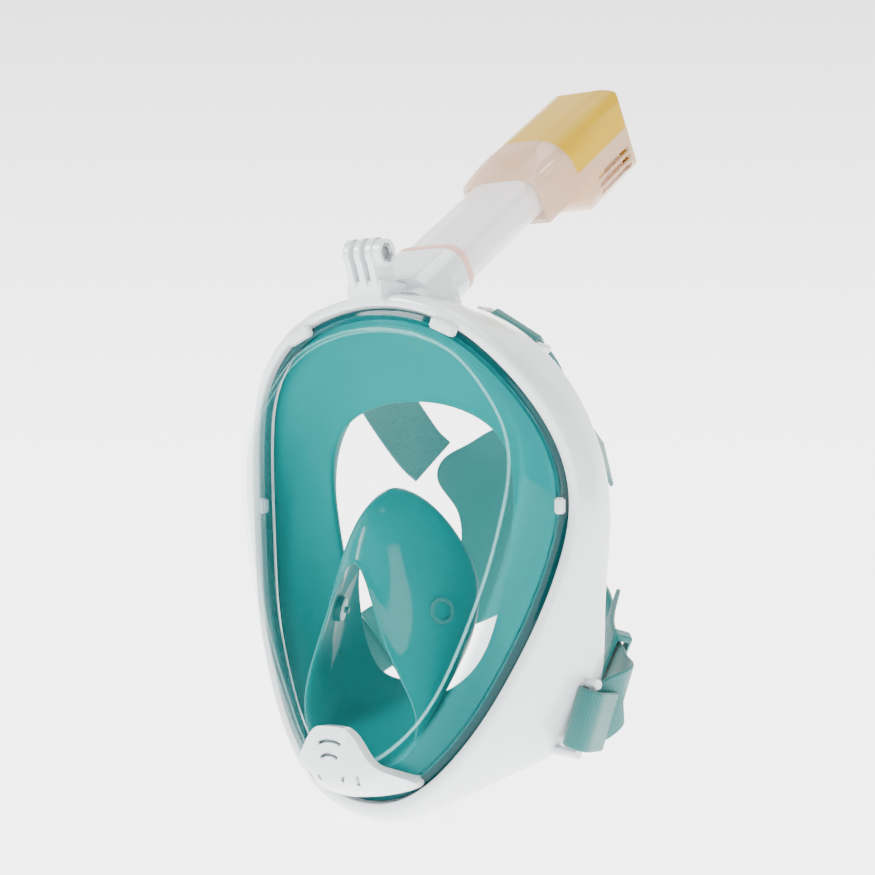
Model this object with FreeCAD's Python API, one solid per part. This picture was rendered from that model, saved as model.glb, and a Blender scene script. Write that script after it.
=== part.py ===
"""Full-face snorkel mask, in millimetres.

Frame: +Z up, -Y the way the wearer looks, +X the wearer's left. The origin is the middle of the
face seal, where the wearer's face meets the mask. The mask stands upright, as on a standing wearer.
Soft parts (skirt, nose pocket, straps) are plain closed solids of the true outer size.
"""
import FreeCAD
import Part
import math
import os
from FreeCAD import Vector as V

os.makedirs("parts", exist_ok=True)

# ---------------------------------------------------------------- driving dimensions
RIM_WIDTH = 5.5          # the white rim's width in front, outside the lens
WALL = 2.6               # the frame's wall
LENS_T = 2.2             # lens thickness
SILICONE_T = 2.0         # skirt and pocket thickness
SNORKEL_LEAN = 57.0      # degrees, back from vertical
SOCKET_MOUTH = V(0, -16, 127)   # centre of the socket's mouth, on the snorkel's axis
TUBE_W, TUBE_D, TUBE_R = 37.0, 21.0, 8.0     # snorkel tube: width, depth, corner radius
TUBE_WALL = 1.8
PLUG_DEPTH = 16.0        # how far the tube's plug goes into the socket
TUBE_LENGTH = 88.0       # from the socket's mouth to the head
MOUNT_PIVOT = V(0, -65, 131)    # centre of the camera mount's cross hole
PRONG_T, PRONG_GAP, PRONG_R = 3.0, 3.1, 7.0
BOLT_HOLE_R = 2.65       # clearance for an M5 thumb screw
DRAIN_CENTRE = V(0, -86.2, -84)  # middle of the chin drain valve, on the lens
DRAIN_DIR = V(0, -1, 0)          # the way the drain valve faces
DRAIN_R = 9.5
COVER_T, COVER_ROOM = 5.0, 2.7   # the drain cover's height over the lens, and the room under it
VENT_Z, VENT_RADII, VENT_W = -92.0, (7.0, 12.8), 1.5     # the cover's curved slots
INHALE_R = 6.0           # radius of each inhale valve's seat in the pocket
INHALE_CENTRE = V(27.4, -48.2, -25.7)
INHALE_DIR = V(0.87, -0.45, 0.18)    # the way the +X inhale valve's outer side faces
PLUG_W, PLUG_D, PLUG_R = 33.0, 17.0, 6.5     # the tube's plug
PLUG_GAP = 0.35          # running gap round the plug
CHANNEL_W = 15.0         # the middle channel, for air in
SEAT_RING_H = 5.0
SOCKET_FOOT_Z = 111.0
NUT_AF, NUT_T = 8.0, 4.0         # M5 nut
HEAD_HALF_W = 22.0       # the snorkel head, in the snorkel's own axes: half width across,
HEAD_FRONT, HEAD_BACK = -18.5, 29.0          # front and back of the tube's axis,
HEAD_START, HEAD_STEP, HEAD_END = 76.0, 117.0, 178.0     # and along the tube
HEAD_FRONT_R, HEAD_BACK_R, HEAD_END_R, HEAD_BEND_R = 15.0, 9.0, 14.0, 20.0   # the head's roundings
HEAD_WALL = 1.8
CAP_EDGE = 4.0           # the yellow cap's edge on the head's sides
PLATE_Z, PORT_R = 157.0, 3.2     # the plate that the float shuts against, and its air port
FLOAT_Y = 18.0           # the float's axis, behind the tube's
BUTTON_TRAVEL, BUTTON_ROOM = 1.0, 0.9    # and the room left in front of the plug when pressed
STRAP_W, STRAP_T, STRAP_BAR_R, LUG_R = 27.0, 2.2, 1.6, 2.2
PAD_BACK_Y, PAD_R = 92.0, 75.0   # the head pad's rearmost place and the radius of its curve

# Half outlines, from the chin up to the forehead, x >= 0. Each row is one station round the ring.
RIM = [(0, -60, -109), (22, -61, -104), (40, -58, -89), (54, -53, -70.5), (64.5, -48, -51),
       (73.5, -43, -31), (80, -37.5, -10), (84.5, -33.5, 12), (84.5, -34.5, 33), (79, -41, 54),
       (67, -51.5, 75.5), (46.5, -58.5, 95), (23.5, -60.5, 105), (0, -61, 108)]
REAR = [(0, -50, -119.5), (24, -40, -112), (44, -24, -100), (60, -12, -91), (73, -1, -78),
        (81, 3, -52), (85, -3, -22), (90, -6, 10), (90, -9, 33), (85.5, -14, 56),
        (73.5, -18, 79), (51.5, -19, 99), (26, -19, 110), (0, -19, 113.5)]
CREASE = [(0, -86, -95), (16, -83, -91), (30, -77, -80), (41, -72, -65), (50, -70, -48),
          (58, -68, -29), (65.5, -66, -8), (71, -64, 14), (75, -62.5, 38), (70, -61.5, 58),
          (57, -61, 76), (44, -62, 89), (24, -63, 97.5), (0, -63.5, 100.5)]
FACE = [(0, -30, -66), (14, -29, -64), (26, -27, -57), (34.5, -25, -47), (39.5, -23, -34),
        (43, -22, -20), (47, -22, -4), (50, -23.5, 16), (51, -25, 33), (48.5, -27, 46),
        (41.5, -29.5, 56), (29.5, -32, 63), (15, -33.5, 67), (0, -34, 68)]
POCKET_FRONT = [(0, -72, -93), (14, -71, -90), (25, -69, -83), (28.5, -70, -70), (24, -73.5, -56),
                (18, -75.5, -43), (12, -76, -29), (6.5, -75.5, -15), (0, -74.5, -5)]
POCKET_REAR = [(0, -33, -59), (13, -32, -57), (22, -30, -51), (29, -28, -41), (33, -26.5, -28),
               (34, -27, -12), (28, -30, 4), (16, -36, 21), (0, -42, 29)]
POCKET_BULGE = 8.0       # how far the pocket's top bulges, as a dome over the nose
COVER_OUTLINE = [(-28, -98.5), (-20.5, -89.5), (-14, -80), (-8, -74), (0, -73), (8, -74),
                 (14, -80), (20.5, -89.5), (28, -98.5), (20, -102.5), (10, -104), (0, -104.5),
                 (-10, -104), (-20, -102.5)]
LENS_TABS = [((39.5, -62.0, 97.2), (13, 4.4, 5), 23.5), ((82.0, -36.4, 20.5), (4, 4, 7), 0)]
PAD_SHIFT, PAD_SCALE = -10.0, 0.83   # the harness hangs to one side, as when it is laid down
PAD_OUTLINE = [(0, 60), (24, 60), (40, 52), (51, 45), (54, 34), (46, 20), (43, 4), (48, -14), (58, -24),
               (56, -37), (44, -41), (22, -34), (0, -32)]

# The strap bars' ends and feet on the +X side, and each strap's path and width direction. The straps
# are listed by side (1 is +X), as the slack harness hangs towards -X; x is measured outwards.
UPPER_BAR = [(30, -13.6, 108), (60, -13.6, 90)]
LOWER_BAR = [(75.5, -13.8, -87), (83.5, -10.2, -57)]
UPPER_FEET = [(30, -20, 108), (60, -20, 90.2)]
LOWER_FEET = [(61, -12, -86), (76, -8.5, -57)]
UPPER_PATH = {-1: [(46, -5.5, 100.0), (57, 11, 90), (62, 35, 72), (59, 56, 51), (55.5, 65, 43)],
              1: [(46, -7.0, 100.0), (44, 8, 88), (42, 32, 70), (41, 58, 54), (37, 81, 41)]}
UPPER_ACROSS = {-1: [(0.86, 0, -0.51), (0.86, -0.1, -0.51), (0.7, -0.3, -0.6), (0.55, -0.45, -0.7),
                     (0.5, -0.5, -0.7)],
                1: [(0.86, 0, -0.51), (0.84, 0.1, -0.53), (0.62, 0.2, -0.75), (0.4, 0.1, -0.9),
                    (0.3, 0.1, -0.95)]}
LOWER_PATH = {-1: [(83, 0, -68), (83, 18, -62), (76, 40, -51), (66, 56, -39), (60.5, 63.5, -33)],
              1: [(84, 0, -68), (84, 13, -63), (73, 26, -58), (53, 50, -46), (40, 79.5, -31)]}
LOWER_ACROSS = {-1: [(0.25, 0.11, 0.96), (0.3, 0.0, 0.95), (0.45, -0.3, 0.8), (0.55, -0.45, 0.7),
                     (0.56, -0.5, 0.66)],
                1: [(0.25, 0.11, 0.96), (0.25, 0.11, 0.96), (0.3, 0.1, 0.95), (0.32, 0.1, 0.94),
                    (0.3, 0.1, 0.95)]}


def vec(p):
    return V(*p)


def mix(a, b, t):
    return a * (1 - t) + b * t


def whole(half):
    """A half outline and its mirror image, as one closed ring of stations."""
    right = [vec(p) for p in half]
    return right + [V(-p.x, p.y, p.z) for p in reversed(right[1:-1])]


def outward(ring):
    """The outward direction in the XZ plane at each station of a ring."""
    found = []
    for i, p in enumerate(ring):
        t = ring[(i + 1) % len(ring)] - ring[i - 1]
        found.append(V(t.z, 0, -t.x).normalize())
    return found


def sharpened(row):
    """Poles whose cubic spline passes close to the given points."""
    n = len(row)
    return [p - (row[(i + 1) % n] + row[i - 1] - p * 2) * (1 / 6.0) for i, p in enumerate(row)]


def upright(solid):
    if solid.Volume < 0:
        solid.reverse()
    return solid


def ring_solid(rows):
    """A closed ring: rows[j] is the ring of points at place j round the section."""
    rows = [sharpened(r) for r in rows]
    nu, nv = len(rows[0]), len(rows)
    poles = [[rows[j][i] for j in range(nv)] for i in range(nu)]
    s = Part.BSplineSurface()
    s.buildFromPolesMultsKnots(poles, [1] * (nu + 1), [1] * (nv + 1), list(range(nu + 1)),
                               list(range(nv + 1)), True, True, 3, 3)
    return upright(Part.Solid(Part.Shell([s.toShape()])))


def clamped(n):
    """Multiplicities and knots of an open cubic spline of n poles."""
    spans = n - 3
    return [4] + [1] * (spans - 1) + [4], list(range(spans + 1))


def dish_solid(rows):
    """A dish: rows run from the outer middle over the rim to the inner middle, and end in a point."""
    rows = [sharpened(r) for r in rows]
    nu, nv = len(rows[0]), len(rows)
    poles = [[rows[j][i] for j in range(nv)] for i in range(nu)]
    vm, vk = clamped(nv)
    s = Part.BSplineSurface()
    s.buildFromPolesMultsKnots(poles, [1] * (nu + 1), vm, list(range(nu + 1)), vk, True, False, 3, 3)
    return upright(Part.Solid(Part.Shell([s.toShape()])))


def frame_solid():
    rim, rear = whole(RIM), whole(REAR)
    n = outward(rim)
    nr = outward(rear)
    rows = [[] for _ in range(14)]
    for a, b, o, q in zip(rim, rear, n, nr):
        front = a + o * RIM_WIDTH + V(0, -0.6, 0)
        inner = b - q * WALL
        for j, p in enumerate([
                a + V(0, -1.0, 0),
                a + o * 0.6 + V(0, -2.0, 0),
                a + o * (RIM_WIDTH - 1.6) + V(0, -2.0, 0),
                front,
                mix(front, b, 0.3) + o * 1.6,
                mix(front, b, 0.7) + q * 1.2,
                b + V(0, -1.0, 0) + q * 0.2,
                b + V(0, 0.6, 0) - q * 1.2,
                inner + V(0, -1.0, 0),
                mix(a + o * 2.4 + V(0, 6, 0), inner, 0.55) + q * 0.6,
                a + o * 2.4 + V(0, 6.4, 0),
                a - o * 2.6 + V(0, 5.6, 0),
                a - o * 3.2 + V(0, 3.6, 0),
                a + o * 0.2 + V(0, 2.9, 0)]):
            rows[j].append(p)
    return ring_solid(rows)


def tab_solids(lens):
    """Small tabs on the frame's rim that hold the lens's edge from the front."""
    found = []
    for centre, size, slope in LENS_TABS:
        for side in (-1, 1):
            tab = Part.makeBox(*size, V(-size[0] / 2, -size[1] / 2, -size[2] / 2))
            tab = tab.makeFillet(0.8, tab.Edges)
            tab.Placement = FreeCAD.Placement(V(side * centre[0], centre[1], centre[2]),
                                              FreeCAD.Rotation(V(0, 1, 0), side * slope))
            found.append(tab.cut(lens))
    return found


def lens_point(a, c, o, t):
    """A point across the lens, t = 0 at the flange, 1 at the crease."""
    return mix(a - o * 3.4 + V(0, 0.4, 0), c, t)


def panel_middle(z):
    """How far forward the lens is on its centre line."""
    return -64.0 - 0.152 * (100.0 - z)


PANEL_MIDDLE = V(0, panel_middle(10), 10)


def lens_rows(grow=0.0):
    """Rings of points on the lens, from its middle out to its flange; grow moves them along the normal."""
    rim, crease = whole(RIM), whole(CREASE)
    n = outward(rim)
    middle = PANEL_MIDDLE + V(0, -grow, 0)
    rows = [[middle] * len(rim)]
    for share in (0.3, 0.62, 0.88, 1.0):
        row = []
        for c, o in zip(crease, n):
            flat = mix(PANEL_MIDDLE, c, share)
            want = panel_middle(flat.z) + (c.y - panel_middle(c.z)) * share ** 2.4
            row.append(V(flat.x, want - grow, flat.z) + o * (grow * 0.4 * share ** 6))
        rows.append(row)
    for t in (0.8, 0.35, 0.03):
        rows.append([lens_point(a, c, o, t) + (o * 0.9 + V(0, -0.4, 0)) * grow
                     for a, c, o in zip(rim, crease, n)])
    return rows


def under_lens(grow):
    """All the space behind a surface that lies grow outside the lens."""
    rows = lens_rows(grow)
    for share in (1.0, 0.6, 0.2):
        rows.append([V(p.x * share, -20, PANEL_MIDDLE.z + (p.z - PANEL_MIDDLE.z) * share)
                     for p in rows[7]])
    rows.append([V(0, -20, PANEL_MIDDLE.z)] * len(rows[0]))
    return dish_solid(rows)


def lens_solid():
    rim = whole(RIM)
    n = outward(rim)
    outer = lens_rows(0.0)
    inner = lens_rows(-LENS_T)
    lip = [[a - o * 0.5 + V(0, 0.4, 0) for a, o in zip(rim, n)],
           [a - o * 0.5 + V(0, 2.4, 0) for a, o in zip(rim, n)]]
    root = [[a - o * 4.0 + V(0, 2.4, 0) for a, o in zip(rim, n)]]
    return dish_solid(outer + lip + root + list(reversed(inner)))


def skirt_solid():
    rim, hole = whole(RIM), whole(FACE)
    n, m = outward(rim), outward(hole)
    t = SILICONE_T
    rows = [[] for _ in range(13)]
    for a, h, o, q in zip(rim, hole, n, m):
        edge = a - o * 0.8
        seal = V(h.x, 0, h.z) + q * 15
        for j, p in enumerate([
                edge + V(0, 6.6, 0),
                a - o * 7 + V(0, 7.4, 0),
                mix(a, h, 0.45) + V(0, 5.0, 0),
                mix(a, h, 0.8) + V(0, 1.5, 0),
                h + V(0, -0.6, 0),
                h - q * 1.4 + V(0, 1.2, 0),
                h + q * 2.0 + V(0, 7.0, 0),
                seal + V(0, -1.2, 0),
                seal + q * 0.8 + V(0, 0.6, 0),
                h + q * 6.0 + V(0, 7.5 - t, 0),
                mix(a, h, 0.8) + V(0, 1.5 + t * 1.4, 0),
                mix(a, h, 0.45) + V(0, 5.0 + t * 1.2, 0),
                edge + V(0, 6.6 + t, 0)]):
            rows[j].append(p)
    return ring_solid(rows)


def pocket_solid():
    """The silicone cup round the nose and mouth: a tunnel from the lens back to the face."""
    front, rear = whole(POCKET_FRONT), whole(POCKET_REAR)
    n, m = outward(front), outward(rear)
    t = SILICONE_T
    rows = [[] for _ in range(10)]
    for a, b, o, q in zip(front, rear, n, m):
        dome = POCKET_BULGE * max(0.0, q.z) ** 2
        for j, p in enumerate([
                a + o * 2.4 + V(0, 0.2, 0),
                a + o * 2.4 + V(0, t + 0.2, 0),
                mix(a, b, 0.3) + o * (t + 1.5) + V(0, -0.3, 1) * dome,
                mix(a, b, 0.7) + q * (t + 1.0) + V(0, -0.3, 1) * (dome * 0.6),
                b + q * 1.2,
                b - q * 1.6 + V(0, 1.0, 0),
                b - q * 1.6 + V(0, -0.8, 0),
                mix(a, b, 0.7) + q * 1.0 + V(0, -0.3, 1) * (dome * 0.6),
                mix(a, b, 0.3) + o * 1.5 + V(0, -0.3, 1) * dome,
                a + V(0, t, 0)]):
            rows[j].append(p)
    return ring_solid(rows)


def retainer_solid():
    """The clamp ring that holds the skirt's flange against the frame, from behind."""
    rim = whole(RIM)
    rows = [[] for _ in range(8)]
    for a, o in zip(rim, outward(rim)):
        for j, (out, back) in enumerate([(-3.4, 12.6), (-1.4, 11.2), (0.2, 9.8), (1.2, 10.4),
                                         (1.0, 13.0), (-1.0, 14.2), (-3.2, 14.4), (-4.0, 13.6)]):
            rows[j].append(a + o * out + V(0, back, 0))
    return ring_solid(rows)


# ---------------------------------------------------------------- plain shapes
def rounded(w, d, r, z0, z1, cy=0.0, cx=0.0):
    """An upright prism of rounded rectangular section, w along X and d along Y."""
    box = Part.makeBox(w, d, z1 - z0, V(cx - w / 2, cy - d / 2, z0))
    upright_edges = [e for e in box.Edges if abs(e.tangentAt(e.FirstParameter).z) > 0.9]
    return box.makeFillet(r, upright_edges)


def side_prism(points, half_width):
    """A prism across X from a profile of (y, z) points."""
    wire = Part.makePolygon([V(-half_width, y, z) for y, z in points + points[:1]])
    return Part.Face(wire).extrude(V(2 * half_width, 0, 0))


def cylinder(r, centre, axis, length):
    """A cylinder that starts at centre and runs along axis."""
    return Part.makeCylinder(r, length, centre, axis)


def tube_ring(r_out, r_in, centre, axis, length):
    return cylinder(r_out, centre, axis, length).cut(
        cylinder(r_in, centre - axis * 1.0, axis, length + 2))


def biggest(shape):
    return sorted(shape.Solids, key=lambda s: s.Volume)[-1]


def on_snorkel(shape):
    """Moves a shape from the snorkel's own axes, Z along the tube, to its place."""
    shape = shape.copy()
    shape.Placement = FreeCAD.Placement(SOCKET_MOUTH, FreeCAD.Rotation(V(1, 0, 0), -SNORKEL_LEAN))
    return shape


def ribbon(path, across, width, thickness):
    """A flat strap along a path; across gives its width direction at each point."""
    sections = []
    for i, (p, w) in enumerate(zip(path, across)):
        along = path[min(i + 1, len(path) - 1)] - path[max(i - 1, 0)]
        n = w.cross(along).normalize() * (thickness / 2)
        side = along.cross(n).normalize() * (width / 2)
        corners = [p + side + n, p - side + n, p - side - n, p + side - n]
        sections.append(Part.makePolygon(corners + corners[:1]))
    return Part.makeLoft(sections, True, True)


# ---------------------------------------------------------------- socket and snorkel
def plug_bore():
    """The space that the tube's plug goes into."""
    return rounded(PLUG_W + 2 * PLUG_GAP, PLUG_D + 2 * PLUG_GAP, PLUG_R, -PLUG_DEPTH - 1.5, 1)


def air_duct():
    """The way for air from the plug into the mask."""
    return rounded(PLUG_W - 6, PLUG_D - 4, PLUG_R - 2, -50, -PLUG_DEPTH)


def socket_solid(frame):
    """The white collar that takes the snorkel's plug, standing on the frame."""
    wall = rounded(TUBE_W + 4, TUBE_D + 4, TUBE_R + 2, -30, 0)
    plinth = rounded(TUBE_W + 8, 30, TUBE_R + 2, -36, -14, cy=6)
    body = on_snorkel(wall.fuse(plinth).cut(plug_bore()).cut(air_duct()).cut(latch_window()))
    above = Part.makeBox(120, 120, 60, V(-60, -70, SOCKET_FOOT_Z))
    return biggest(body.common(above).cut(frame))


def latch_window():
    """The hole for the release button, in the collar's -X wall."""
    return Part.makeBox(8, 10.6, 8.6, V(-PLUG_W / 2 - 8, -5.3, -14.3))


def latch_solid():
    """The release button: a pad in the collar's -X wall, which is pressed towards +X."""
    inner_x = -PLUG_W / 2 - PLUG_GAP - BUTTON_TRAVEL - BUTTON_ROOM
    pad = Part.makeBox(4.2, 10, 8, V(inner_x - 4.2, -5, -14))
    return pad.makeFillet(0.8, pad.Edges)


def tube_solid():
    tube = rounded(TUBE_W, TUBE_D, TUBE_R, SEAT_RING_H, TUBE_LENGTH)
    tube = tube.fuse(rounded(PLUG_W, PLUG_D, PLUG_R, -PLUG_DEPTH, SEAT_RING_H))
    inner_d = PLUG_D - 2 * TUBE_WALL
    air = rounded(CHANNEL_W, inner_d, 2.0, -PLUG_DEPTH - 1, TUBE_LENGTH + 1)
    side_w = (PLUG_W - CHANNEL_W) / 2 - 2 * TUBE_WALL
    for side in (-1, 1):
        x = side * (CHANNEL_W / 2 + TUBE_WALL + side_w / 2)
        air = air.fuse(rounded(side_w, inner_d - 3, 1.6, -PLUG_DEPTH - 1, TUBE_LENGTH + 1, cx=x))
    groove = rounded(PLUG_W + 2, PLUG_D + 2, PLUG_R, -8, -5.6).cut(
        rounded(PLUG_W - 1.6, PLUG_D - 1.6, PLUG_R - 0.8, -9, -5))
    return tube.cut(air).cut(groove)


def plug_seal_solid():
    """The soft seal in the plug's groove."""
    return rounded(PLUG_W + 0.2, PLUG_D + 0.2, PLUG_R, -7.8, -5.8).cut(
        rounded(PLUG_W - 1.5, PLUG_D - 1.5, PLUG_R - 0.8, -9, -5))


def seat_ring_solid():
    """The tinted ring round the tube's foot, which meets the collar's mouth."""
    return rounded(TUBE_W + 3.4, TUBE_D + 3.4, TUBE_R + 1.7, 0.9, SEAT_RING_H).cut(
        rounded(PLUG_W + 0.02, PLUG_D + 0.02, PLUG_R, 0, 9))


def filleted(solid, axis, radii):
    """Rounds the edges that run along axis, each by the radius that radii gives for its middle."""
    for r in sorted({radii(e.CenterOfMass) for e in solid.Edges} - {None}):
        edges = [e for e in solid.Edges if e.Curve.TypeId == "Part::GeomLine"
                 and abs(e.tangentAt(e.FirstParameter).dot(axis)) > 0.99 and radii(e.CenterOfMass) == r]
        if edges:
            solid = solid.makeFillet(r, edges)
    return solid


def head_block(inset):
    """The head's outer or inner block: a bent profile, rounded off in all three directions."""
    i = inset
    front, back, end = HEAD_FRONT + i, HEAD_BACK - i, HEAD_END - i
    half = HEAD_HALF_W - i
    profile = [(-10.5 + i, HEAD_START - 1), (-10.5 + i, HEAD_START), (front, HEAD_START + 24),
               (front, end), (back, end), (back, HEAD_STEP + i),
               (TUBE_D / 2 + 2.0 - i, HEAD_STEP + i), (TUBE_D / 2 + 2.0 - i, HEAD_START - 1)]

    def profile_radius(p):
        if p.z > end - 1:
            return HEAD_END_R - i
        if p.z > HEAD_STEP - 1 and p.y > back - 1:
            return HEAD_BACK_R - i
        return HEAD_BEND_R if p.y < front + 1 and p.z < HEAD_STEP else None

    side_view = filleted(side_prism(profile, HEAD_HALF_W + 5), V(1, 0, 0), profile_radius)
    plan = Part.makeBox(2 * half, back - front, 110, V(-half, front, HEAD_START - 2))
    plan = filleted(plan, V(0, 0, 1), lambda p: (HEAD_FRONT_R if p.y < 0 else HEAD_BACK_R) - i)
    front_view = Part.makeBox(2 * half, 80, end - HEAD_START + 5, V(-half, -40, HEAD_START - 5))
    front_view = filleted(front_view, V(0, 1, 0), lambda p: HEAD_FRONT_R - 3 - i if p.z > end - 1 else None)
    return side_view.common(plan).common(front_view)


def cap_region():
    """Where the head's shell is yellow: its front, and its end right across."""
    return side_prism([(HEAD_FRONT - 5, HEAD_START + 28), (CAP_EDGE, HEAD_START + 36),
                       (CAP_EDGE, HEAD_END - 9), (HEAD_BACK + 5, HEAD_END - 9),
                       (HEAD_BACK + 5, HEAD_END + 5), (HEAD_FRONT - 5, HEAD_END + 5)], 40)


def head_solids():
    shell = head_block(0).cut(head_block(HEAD_WALL))
    tube_hole = rounded(TUBE_W + 0.02, TUBE_D + 0.02, TUBE_R, HEAD_START - 5, TUBE_LENGTH + 0.01)
    shell = shell.cut(tube_hole)
    cap = biggest(shell.common(cap_region()))
    body = shell.cut(cap_region())
    for side in (-1, 1):
        for k in range(3):
            slot = Part.makeBox(8, 2.4, 36, V(side * HEAD_HALF_W - 4, 13.0 + 4.2 * k, HEAD_STEP + 12))
            body = body.cut(slot)
    return cap, biggest(body)


def valve_plate_solid():
    """The plate inside the head that the float shuts against, with its air port."""
    inside = head_block(HEAD_WALL + 0.3)
    slab = Part.makeBox(80, 80, 2.0, V(-40, CAP_EDGE + 4.5, PLATE_Z))
    return biggest(inside.common(slab).cut(
        cylinder(PORT_R, V(0, FLOAT_Y, PLATE_Z - 2), V(0, 0, 1), 6)))


def float_solid():
    block = rounded(30, 11, 4.0, HEAD_STEP + 5, HEAD_STEP + 31, cy=FLOAT_Y)
    return block.cut(cylinder(1.6, V(0, FLOAT_Y, HEAD_STEP), V(0, 0, 1), 18))


def float_seal_solid():
    z = HEAD_STEP + 31
    return cylinder(4.6, V(0, FLOAT_Y, z), V(0, 0, 1), 2.0)


def float_pin_solid():
    """The pin that guides the float."""
    return cylinder(1.5, V(0, FLOAT_Y, HEAD_STEP + HEAD_WALL), V(0, 0, 1), 14)


# ---------------------------------------------------------------- camera mount
def mount_solid(frame, socket):
    """A three-prong fork that leans forward, with a nut boss on its +X prong."""
    py, pz = MOUNT_PIVOT.y, MOUNT_PIVOT.z
    leg = [(py - PRONG_R, pz), (py + PRONG_R, pz), (py + 17, SOCKET_FOOT_Z), (py + 1, SOCKET_FOOT_Z)]
    plate = side_prism(leg, PRONG_T / 2)
    plate = plate.fuse(cylinder(PRONG_R, V(-PRONG_T / 2, py, pz), V(1, 0, 0), PRONG_T))
    fork = plate
    for k in (-1, 1):
        prong = plate.copy()
        prong.translate(V(k * (PRONG_T + PRONG_GAP), 0, 0))
        fork = fork.fuse(prong)
    half = 1.5 * PRONG_T + PRONG_GAP
    foot = Part.makeBox(2 * half + 3, 21, 9, V(-half - 1.5, py - 1, SOCKET_FOOT_Z - 1))
    fork = fork.fuse(foot)
    fork = fork.fuse(cylinder(6.0, V(half, py, pz), V(1, 0, 0), NUT_T + 0.4))
    fork = fork.cut(cylinder(BOLT_HOLE_R, V(-20, py, pz), V(1, 0, 0), 40))
    fork = fork.cut(hexagon(NUT_AF + 0.2, V(half - 0.6, py, pz), NUT_T + 5))
    return biggest(fork.cut(frame).cut(socket))


def hexagon(across_flats, centre, length):
    r = across_flats / math.sqrt(3)
    corners = [centre + V(0, r * math.cos(k * math.pi / 3), r * math.sin(k * math.pi / 3))
               for k in range(7)]
    return Part.Face(Part.makePolygon(corners)).extrude(V(length, 0, 0))


def nut_solid():
    half = 1.5 * PRONG_T + PRONG_GAP
    nut = hexagon(NUT_AF, V(half - 0.5, MOUNT_PIVOT.y, MOUNT_PIVOT.z), NUT_T)
    return nut.cut(cylinder(BOLT_HOLE_R, V(0, MOUNT_PIVOT.y, MOUNT_PIVOT.z), V(1, 0, 0), 40))


# ---------------------------------------------------------------- valves
def drain_solids():
    """The chin drain: a seat in the lens, and a soft disc on it."""
    n = DRAIN_DIR
    seat = tube_ring(DRAIN_R - 0.3, DRAIN_R - 2.2, DRAIN_CENTRE - n * 4.5, n, 4.5)
    bar = Part.makeBox(2 * DRAIN_R - 3, 2.2, 1.6, V(-DRAIN_R + 1.5, 0, 0))
    bar.Placement = FreeCAD.Placement(DRAIN_CENTRE - n * 1.8, FreeCAD.Rotation(V(0, 0, 1), n),
                                      V(0, 0, 0)).multiply(FreeCAD.Placement(V(0, -1.1, 0), FreeCAD.Rotation()))
    seat = seat.fuse(bar)
    seat = seat.fuse(cylinder(1.6, DRAIN_CENTRE - n * 1.8, n, 3.6))
    disc = tube_ring(DRAIN_R - 1.0, 1.7, DRAIN_CENTRE + n * 0.1, n, 0.9)
    return seat, disc


def drain_cover_solid(lens, frame):
    """The vented cover at the chin, which follows the lens's surface."""
    spline = Part.BSplineCurve()
    spline.interpolate([V(x, -110, z) for x, z in COVER_OUTLINE], PeriodicFlag=True)
    block = Part.Face(Part.Wire(spline.toShape())).extrude(V(0, 50, 0))
    block = block.common(under_lens(COVER_T)).cut(under_lens(0.02))
    block = block.cut(cylinder(DRAIN_R + 0.8, DRAIN_CENTRE - DRAIN_DIR * 10, DRAIN_DIR, 10 + COVER_ROOM))
    for r, arcs in zip(VENT_RADII, (((50, 80), (-38, 22), (196, 22)), ((62, 56), (-28, 22), (186, 22)))):
        for start, sweep in arcs:
            block = block.cut(arc_slot(r, VENT_W, start, sweep))
    return biggest(block.cut(lens).cut(frame))


def arc_slot(r, width, start, sweep):
    """A curved slot in the cover, start and sweep in degrees from +X towards +Z."""
    ring = Part.makeCylinder(r + width / 2, 60, V(0, 0, 0), V(0, 0, 1), sweep).cut(
        Part.makeCylinder(r - width / 2, 62, V(0, 0, -1), V(0, 0, 1)))
    ring.rotate(V(0, 0, 0), V(0, 0, 1), start)
    ring.Placement = FreeCAD.Placement(V(0, -70, VENT_Z), FreeCAD.Rotation(V(1, 0, 0), 90)).multiply(
        ring.Placement)
    return ring


def inhale_axis(side):
    n = V(side * INHALE_DIR.x, INHALE_DIR.y, INHALE_DIR.z)
    n.normalize()
    return V(side * INHALE_CENTRE[0], INHALE_CENTRE[1], INHALE_CENTRE[2]), n


def inhale_solids(side):
    """A seat ring with a spoke in the pocket's flank, and its soft disc on the inside."""
    c, n = inhale_axis(side)
    seat = tube_ring(INHALE_R - 0.1, INHALE_R - 1.8, c - n * 1.6, n, 5.2)
    spoke = Part.makeBox(2.0, 2 * INHALE_R - 3, 1.4, V(-1.0, -INHALE_R + 1.5, 0))
    spoke.Placement = FreeCAD.Placement(c - n * 1.4, FreeCAD.Rotation(V(0, 0, 1), n))
    seat = seat.fuse(spoke).fuse(cylinder(1.5, c - n * 4.6, n, 5.0))
    disc = tube_ring(INHALE_R - 0.6, 1.6, c - n * 2.7, n, 0.9)
    return seat, disc


# ---------------------------------------------------------------- harness
def mirrored(points, side):
    return [V(side * p[0], p[1], p[2]) for p in points]


def strap_bar_solid(points, side):
    """A bar that a strap's end is looped over, clipped to the frame's rear edge."""
    a, b = mirrored(points, side)
    return cylinder(STRAP_BAR_R, a, (b - a).normalize(), (b - a).Length)


def strap_solid(path, across, side):
    return ribbon(mirrored(path[side], side), mirrored(across[side], side), STRAP_W, STRAP_T)


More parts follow.
